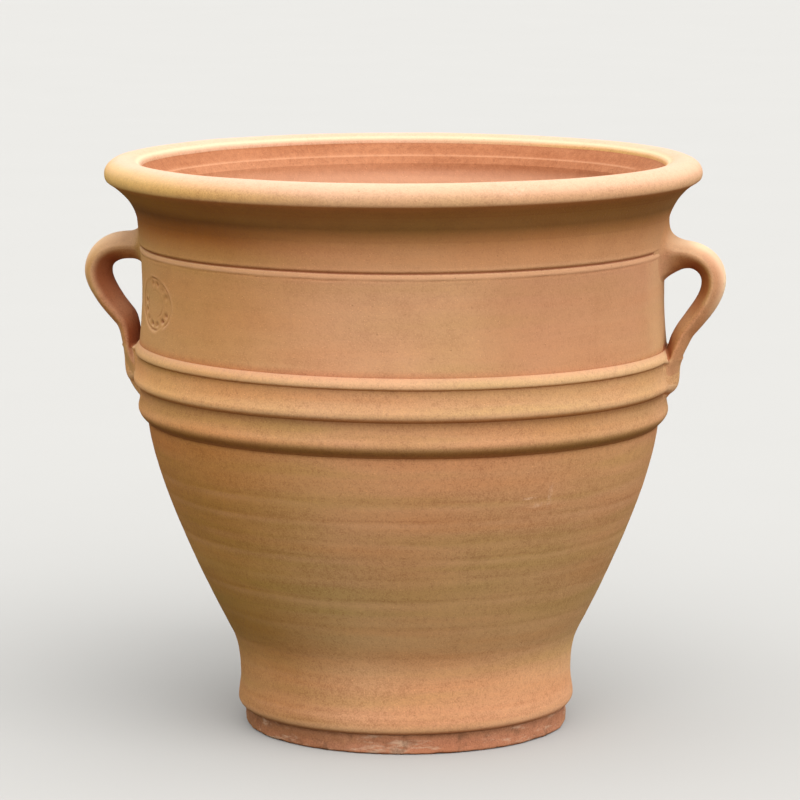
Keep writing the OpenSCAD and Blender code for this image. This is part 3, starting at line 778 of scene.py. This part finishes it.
# thick: at grip, joint and foot. edge: how far the arris lies outwards at root and grip. root_flare: fillets
# at the side, above and below. tail_lean: in degrees. back: the pad's back line as [radius, height] at its
# lower end, bow and top. kept: how much of the ribs stays on it. pale: painted highlight on the outer face.
# dark: painted shade on the inner face, at the places in DARK_PLACES.
Handle = namedtuple("Handle", "turn grip_r joint_r thick edge root_flare tail_lean back kept pale dark")
DARK_PLACES = (0.9, 1.4, 2.2, 2.8, 3.2, 3.9, 4.05)
HANDLES = {
    "right": Handle(
        turn=0.0, grip_r=312.2, joint_r=285.2, thick=(26.0, 21.6, 16.5), edge=(3.0, 0.0),
        root_flare=(20.0, 26.0, 34.0), tail_lean=24, back=((268, 341), (281, 353.5), (278.7, 380)), kept=0.4,
        pale=2.4, dark=(0.1, 1.6, 1.6, 0.6, 0.6, 2.0, 0.0),
    ),
    "left": Handle(
        turn=pi, grip_r=312.5, joint_r=285.8, thick=(28.4, 23.5, 16.5), edge=(0.0, 2.5),
        root_flare=(14.0, 18.0, 16.0), tail_lean=12, back=((271, 328), (289.3, 345), (285.7, 380)), kept=0.2,
        pale=1.5, dark=(0.1, 1.6, 1.6, 1.0, 1.2, 2.2, 0.0),
    ),
}
# Fillets of the foot at the side, above and below; the pad's half widths, ledge and how far it presses the
# ribs down; where the foot and its tail run in
FOOT_FLARE = (3.5, 6.0, 0.8)
PAD_LOW_W, PAD_TOP_W, SHELF_H, PRESSED = 28.0, 44.0, 5.0, 3.0
FOOT_IN, FOOT_DOWN, TAIL = -0.6, 3.0, 34.0
FILLET_WIDEST, ROOT_LOW_H, ROOT_FADE = 34.0, 440.0, 26.0
# Heights whose colour the pads, the handles and their legs take
PAD_LEVEL, HANDLE_LEVEL, LEG_LEVEL = 364.0, 410.0, 391.5
# Painted shade in the crease behind each leg, as (height, reach)
CREASE_FROM, CREASE_TO = (378, 4), (425, 20)


def pad_front(side, offset, z):
    """Radius of the pot with a pad smeared over it, at a sideways offset from the handle's middle."""
    low, bow, top = (np.array(p, float) for p in HANDLES[side].back)
    back = curve(low, bow, top, 40)
    place = np.clip((z - low[1]) / (top[1] - low[1]), 0, 1)
    share = ease(1 - np.abs(offset) / mix(PAD_LOW_W, PAD_TOP_W, place**0.7))
    pressed = wall_at(z + PRESSED * share)
    smooth = mix(265.5, 267.5, place)
    high = np.interp(z, back[:, 1], back[:, 0]) - smooth
    high = high * (1 - ease((z - top[1] + 2) / SHELF_H)) - 4 * falling(z, low[1], 5)
    flat = (1 - HANDLES[side].kept) * share * (pressed - smooth) * falling(z, top[1] + SHELF_H, SHELF_H)
    return mix(wall_at(z) - 2 * SUNK, pressed, ease(share * 4)) + share**1.3 * high - flat


PAD_STEP = 0.8


def pad(name, side, nodes):
    turn, back = HANDLES[side].turn, HANDLES[side].back
    z = np.arange(back[0][1] - 6, back[2][1] + SHELF_H + 2, PAD_STEP)[:, None]
    offset = np.linspace(-PAD_TOP_W - 2, PAD_TOP_W + 2, 96)
    front = pad_front(side, offset, z)
    front = front + outside_shift(*turned_to(front, offset / BELT_TOP_R + turn), z)
    radius = np.concatenate([front, wall_at(z) - 10 + 0 * front], 1)
    spin = np.concatenate([offset, offset[::-1]]) / BELT_TOP_R + turn + 0 * radius
    x, y = turned_to(radius, spin)
    z = z + 0 * radius
    hollow = np.gradient(np.gradient(radius, PAD_STEP, axis=0), PAD_STEP, axis=0)
    flow = [x / DRAWN_OUT, y / DRAWN_OUT, z]
    # Curvature, from which the clay paints highlight on bulges and shade in hollows
    fields = point_fields(0 * z + PAD_LEVEL, np.clip(-8 * hollow, -0.8, 0.8), flow)
    build(name, x, y, z, fields, "handle_clay", nodes, close_rows=False)


# Steps along each stretch of a handle and round its section, and points placed at a time
PATH_STEPS, LENS_STEPS, AT_A_TIME = 90, 28, 4000


def handle_path(side):
    """Middle line of a handle in its upright plane: points, headings, place along it and length."""
    own = HANDLES[side]
    grip_r, joint_r, tail_lean, top = own.grip_r, own.joint_r, own.tail_lean, own.back[2]
    root, grip, joint = np.array([ROOT_R, ROOT_H]), np.array([grip_r, GRIP_H]), np.array([joint_r, JOINT_H])
    foot = np.array([top[0] - own.thick[2] / 2 - FOOT_IN, top[1] - FOOT_DOWN])
    leg = np.array([sin(radians(LEG_LEAN)), cos(radians(LEG_LEAN))])
    tail = np.array([sin(radians(tail_lean)), cos(radians(tail_lean))])
    end = foot - TAIL * np.array([sin(radians(tail_lean + 14)), cos(radians(tail_lean + 14))])
    paths = (
        [root - (40, 0), root - (30, 0), root - (15, 0), root],
        [root, (mix(root[0], grip_r, TURN_SQUARE), ROOT_H), (grip_r, mix(GRIP_H, ROOT_H, TURN_SQUARE)), grip],
        [grip, (grip_r, mix(GRIP_H, JOINT_H, GRIP_LOW)), joint + LEG_RUN * leg, joint],
        [joint, joint - 0.6 * LEG_RUN * leg, foot + 0.4 * LEG_RUN * tail, foot],
        [foot, foot - 0.3 * TAIL * tail, mix(foot, end, 0.6), end],
    )
    middle, ahead, part = [], [], []
    for number, path in enumerate(paths):
        path = np.array(path, float)
        for t in np.linspace(0, 1, PATH_STEPS + 1)[(number > 0):]:
            middle.append(bend3(path, t))
            ahead.append(heading3(path, t))
            part.append(number + t)
    middle, ahead, part = np.array(middle), np.array(ahead), np.array(part)
    ahead /= np.hypot(*ahead.T)[:, None]
    return middle, ahead, part, runs(middle)


def section_at(side, part):
    """Half thickness of a handle and how far its arris lies outwards."""
    grip_t, joint_t, foot_t = HANDLES[side].thick
    root_edge, grip_edge = HANDLES[side].edge
    half_t = np.interp(part, (2, 3, 3.9), (grip_t / 2, joint_t / 2, foot_t / 2))
    return half_t, np.interp(part, (1, 2, 2.6, 3.4), (root_edge, grip_edge, grip_edge, 0))


def on_path(path, u, z):
    """Nearest place on a handle's middle line: its index, the distance outwards from it and the overrun."""
    middle, ahead, _, _ = path
    at = np.empty(len(u), int)
    for start in range(0, len(u), AT_A_TIME):
        some = slice(start, start + AT_A_TIME)
        far = (u[some, None] - middle[:, 0]) ** 2 + (z[some, None] - middle[:, 1]) ** 2
        at[some] = np.argmin(far, axis=1)
    du, dz = u - middle[at, 0], z - middle[at, 1]
    n = -du * ahead[at, 1] + dz * ahead[at, 0]
    along = du * ahead[at, 0] + dz * ahead[at, 1]
    return at, n, np.where(at == len(middle) - 1, np.maximum(along, 0), 0)


def strap_gap(n, v, half_t, edge):
    """Distance from a strap's lens-shaped section; n, half_t and edge run down, v runs across."""
    best = np.full((len(n), len(v)), 1e9)
    half_w = STRAP_W / 2 - ROUNDED
    angles = np.linspace(-pi / 2, pi / 2, LENS_STEPS + 1)
    wide = half_w * np.cos(angles)
    lens = np.sign(np.sin(angles)) * np.abs(np.sin(angles)) ** LENS_SHARP
    thick = (half_t[:, None] - ROUNDED) * lens + edge[:, None] * np.cos(angles) ** 2
    for k in range(len(angles) - 1):
        step_n, step_v = (thick[:, k + 1] - thick[:, k])[:, None], wide[k + 1] - wide[k]
        off_n, off_v = n[:, None] - thick[:, k, None], v[None, :] - wide[k]
        t = np.clip((off_n * step_n + off_v * step_v) / (step_n**2 + step_v**2), 0, 1)
        best = np.minimum(best, (off_n - t * step_n) ** 2 + (off_v - t * step_v) ** 2)
    share = np.clip(v / half_w, 0, 1)
    depth = (half_t[:, None] - ROUNDED) * (1 - share**2) ** (LENS_SHARP / 2)
    inside = (np.abs(n[:, None] - edge[:, None] * share**2) < depth) & (v < half_w)
    return np.where(inside, -1, 1) * np.sqrt(best) - ROUNDED


def zero_surface(field, low, pitch):
    """Points and faces of the closed surface where a field on a regular grid passes 0."""
    cells = tuple(n - 1 for n in field.shape)
    total, count = np.zeros(cells + (3,)), np.zeros(cells)
    for axis in range(3):
        order = (axis, (axis + 1) % 3, (axis + 2) % 3)
        f = field.transpose(order)
        cross = (f[:-1] < 0) != (f[1:] < 0)
        t = np.where(cross, f[:-1] / np.where(cross, f[:-1] - f[1:], 1), 0)
        count_view, total_view = count.transpose(order), total.transpose(order + (3,))
        for p in (0, 1):
            for q in (0, 1):
                some = (slice(None), slice(p, p + cross.shape[1] - 1), slice(q, q + cross.shape[2] - 1))
                count_view += cross[some]
                total_view[..., axis] += t[some]
                total_view[..., order[1]] += p * cross[some]
                total_view[..., order[2]] += q * cross[some]
    active = count > 0
    index = np.full(cells, -1)
    index[active] = np.arange(active.sum())
    points = (np.argwhere(active) + total[active] / count[active][:, None]) * pitch + low
    quads = []
    for axis in range(3):
        order = (axis, (axis + 1) % 3, (axis + 2) % 3)
        f, cell = field.transpose(order)[:, 1:-1, 1:-1], index.transpose(order)
        ring = np.stack([cell[:, :-1, :-1], cell[:, 1:, :-1], cell[:, 1:, 1:], cell[:, :-1, 1:]], -1)
        leaving, entering = (f[:-1] < 0) & (f[1:] >= 0), (f[:-1] >= 0) & (f[1:] < 0)
        quads += [ring[leaving], ring[entering][:, ::-1]]
    return points, np.concatenate(quads)


def handle(name, side, nodes):
    own = HANDLES[side]
    turn, root_flare = own.turn, own.root_flare
    path = handle_path(side)
    low = np.array([NET_IN, -NET_SIDE, own.back[0][1] + 4])
    u = np.arange(low[0], NET_OUT, NET)
    v = np.arange(low[1], NET_SIDE + 0.1, NET)
    z = np.arange(low[2], NET_TOP, NET)
    flat_u, flat_z = (a.ravel() for a in np.meshgrid(u, z, indexing="ij"))
    at, n, over = on_path(path, flat_u, flat_z)
    half_t, edge = section_at(side, path[2][at])
    near = np.abs(n) < 2 * FILLET_WIDEST
    gap = np.full((len(flat_u), len(v)), 2 * FILLET_WIDEST)
    gap[near] = strap_gap(n[near], np.abs(v), half_t[near], edge[near])
    gap = np.hypot(np.maximum(gap, 0), over[:, None]) + np.minimum(gap, 0)
    upright = n[:, None] / (np.abs(n[:, None]) + 0.45 * np.abs(v)[None, :] + 1e-6)
    share = upright**2
    rho, spin = np.hypot(flat_u[:, None], v), np.arctan2(v[None, :], flat_u[:, None])
    tall = flat_z[:, None]
    fillet = mix(
        mix(FOOT_FLARE[0], np.where(upright > 0, FOOT_FLARE[1], FOOT_FLARE[2]), np.sqrt(share)),
        mix(root_flare[0], np.where(upright > 0, root_flare[1], root_flare[2]), share),
        rising(tall, ROOT_LOW_H, ROOT_FADE),
    )
    front = np.maximum(wall_at(tall), pad_front(side, spin * BELT_TOP_R, tall)) - SUNK
    slope = np.maximum(wall_at(tall + 1), pad_front(side, spin * BELT_TOP_R, tall + 1)) - SUNK - front
    wall_gap = (rho - front) / np.sqrt(1 + slope**2)
    shared = np.maximum(fillet - np.abs(gap - wall_gap), 0) / fillet
    joined = np.minimum(gap, wall_gap) - shared**2 * fillet / 4
    solid = np.maximum(np.maximum(joined, -wall_gap - SHEET), gap - FILLET_WIDEST)
    field = solid.reshape(len(u), len(z), len(v)).transpose(0, 2, 1)
    field[[0, -1]] = field[:, [0, -1]] = field[:, :, [0, -1]] = 1.0
    points, quads = zero_surface(field, low, NET)

    u, v, z = points.T
    at, n, _ = on_path(path, u, z)
    part, run = path[2][at], path[3][at]
    half_t, edge = section_at(side, part)
    across = np.clip(np.abs(v) / (STRAP_W / 2), 0, 1)
    out = np.clip((n - edge * across**2) / half_t, -1, 1)
    # Thumb marks and pull marks, into the strap on both faces
    near = falling(np.abs(n), half_t + 6, 4)
    thumbs = 0.5 * noise(v / 14, run / 18, 7 * turn + out) - 0.5
    dents = thumbs * out * ease(part - 1) * ease(3.9 - part) * near
    lumps = 0.12 * noise(v / 7, run / 9, 3 + out) * near
    heading = path[1][at]
    u, z = u - heading[:, 1] * (dents + lumps * out), z + heading[:, 0] * (dents + lumps * out)
    rho, spin = np.hypot(u, v), np.arctan2(v, u) + turn
    x, y = turned_to(rho, spin)
    wall = np.maximum(wall_at(z), pad_front(side, (spin - turn) * BELT_TOP_R, z))
    stands = rho - wall
    # Close to the wall the handle follows its shifts
    shared = np.maximum(falling(stands, 14, 12), 1 - rising(z, own.back[2][1], 18))
    rho = rho + outside_shift(x, y, z) * shared
    x, y = turned_to(rho, spin)
    # Painted highlight on the outer face and along the arris, painted shade on the inner face and in the
    # crease behind each leg
    lit = rising(part, 0.7, 0.6) * falling(part, 3.0, 0.9) * near
    arris = own.pale * lit * rising(out, 0.25, 0.75) + 0.7 * across**9 * lit * ease(0.5 + out)
    shaded = near * ease(-2.2 * out) * np.interp(part, DARK_PLACES, own.dark)
    crease = falling(stands, 9, 6) * ease(-2 * out) * falling(np.abs(n), half_t + 10, 5)
    shaded = shaded + 1.6 * crease * rising(z, *CREASE_FROM) * falling(z, *CREASE_TO)
    leg = rising(part, 2.0, 0.5) * falling(part, 4.1, 0.4) * near
    level = mix(np.maximum(z, HANDLE_LEVEL), LEG_LEVEL, leg)
    fields = point_fields(level, arris - shaded, [run / DRAWN_OUT, 12 * out, v])
    points = np.stack([x, y, z], -1)
    make_piece(name, points, quads.ravel(), np.full(len(quads), 4), fields, "handle_clay", nodes)


for side in HANDLES:
    handle(f"handle_{side}_clay", side, [f"handle_{side}", f"upper_pad_{side}"])
    pad(f"lower_pad_{side}_clay", side, [f"lower_pad_{side}"])


# Floor, light and camera
FLOOR_R, FLOOR_BOUNCE = 60.0, srgb(96, 90, 66)
FLOOR_SEEN, FLOOR_CLOUDS = srgb(186, 185, 182), srgb(184, 183, 180)


def make_floor():
    spokes = np.linspace(0, 2 * pi, 97)[:-1]
    points = [(FLOOR_R * cos(a), FLOOR_R * sin(a), 0.0) for a in spokes]
    mesh = bpy.data.meshes.new("floor")
    mesh.from_pydata(points, [], [list(range(len(points)))])
    floor = add_object("floor", mesh)
    n = Nodes("floor_paper")
    seen = n.add("ShaderNodeLightPath").outputs["Is Camera Ray"]
    cloth = n.noise(n.add("ShaderNodeTexCoord").outputs["Object"], 3.0, 2.0)
    paper = n.tint(cloth, FLOOR_SEEN, FLOOR_CLOUDS)
    shader = n.add("ShaderNodeBsdfDiffuse", {"Color": n.tint(seen, FLOOR_BOUNCE, paper)})
    n.add("ShaderNodeOutputMaterial", {"Surface": shader.outputs[0]})
    mesh.materials.append(n.material)


make_floor()


def sun(name, strength, angle, turn, up):
    """A far soft white light; its size across and its direction are in degrees."""
    data = bpy.data.lights.new(name, "SUN")
    data.energy, data.angle = strength, radians(angle)
    add_object(name, data).rotation_euler = (radians(90 - up), 0, radians(turn + 90))


sun("key_light", 1.5, 60, -60, 44)
sun("top_light", 3.0, 150, -75, 80)
sun("front_light", 1.3, 130, -62, 34)
WORLD_SEEN, WORLD_LIGHT = 0.92, 0.22
world = bpy.data.worlds.new("studio")
world.use_nodes = True
nodes = world.node_tree.nodes
sky = nodes["Background"]
sky.inputs["Color"].default_value = WHITE
ray = nodes.new("ShaderNodeLightPath")
share = nodes.new("ShaderNodeMapRange")
share.inputs["To Min"].default_value, share.inputs["To Max"].default_value = WORLD_LIGHT, WORLD_SEEN
world.node_tree.links.new(ray.outputs["Is Camera Ray"], share.inputs["Value"])
world.node_tree.links.new(share.outputs["Result"], sky.inputs["Strength"])
bpy.context.scene.world = world

camera_data = bpy.data.cameras.new("camera")
camera_data.sensor_width = SENSOR_MM
camera_data.lens = FOCAL_PX / FRAME_PX * SENSOR_MM
camera = add_object("camera", camera_data)
camera.location = (CAMERA_FAR * sin(CAMERA_TURN), -CAMERA_FAR * cos(CAMERA_TURN), CAMERA_HIGH)
camera.rotation_euler = (pi / 2 - CAMERA_DOWN, 0, CAMERA_TURN + (AXIS_PX - FRAME_PX / 2) / FOCAL_PX)
bpy.context.scene.camera = camera
bpy.context.scene.view_settings.view_transform = "Standard"
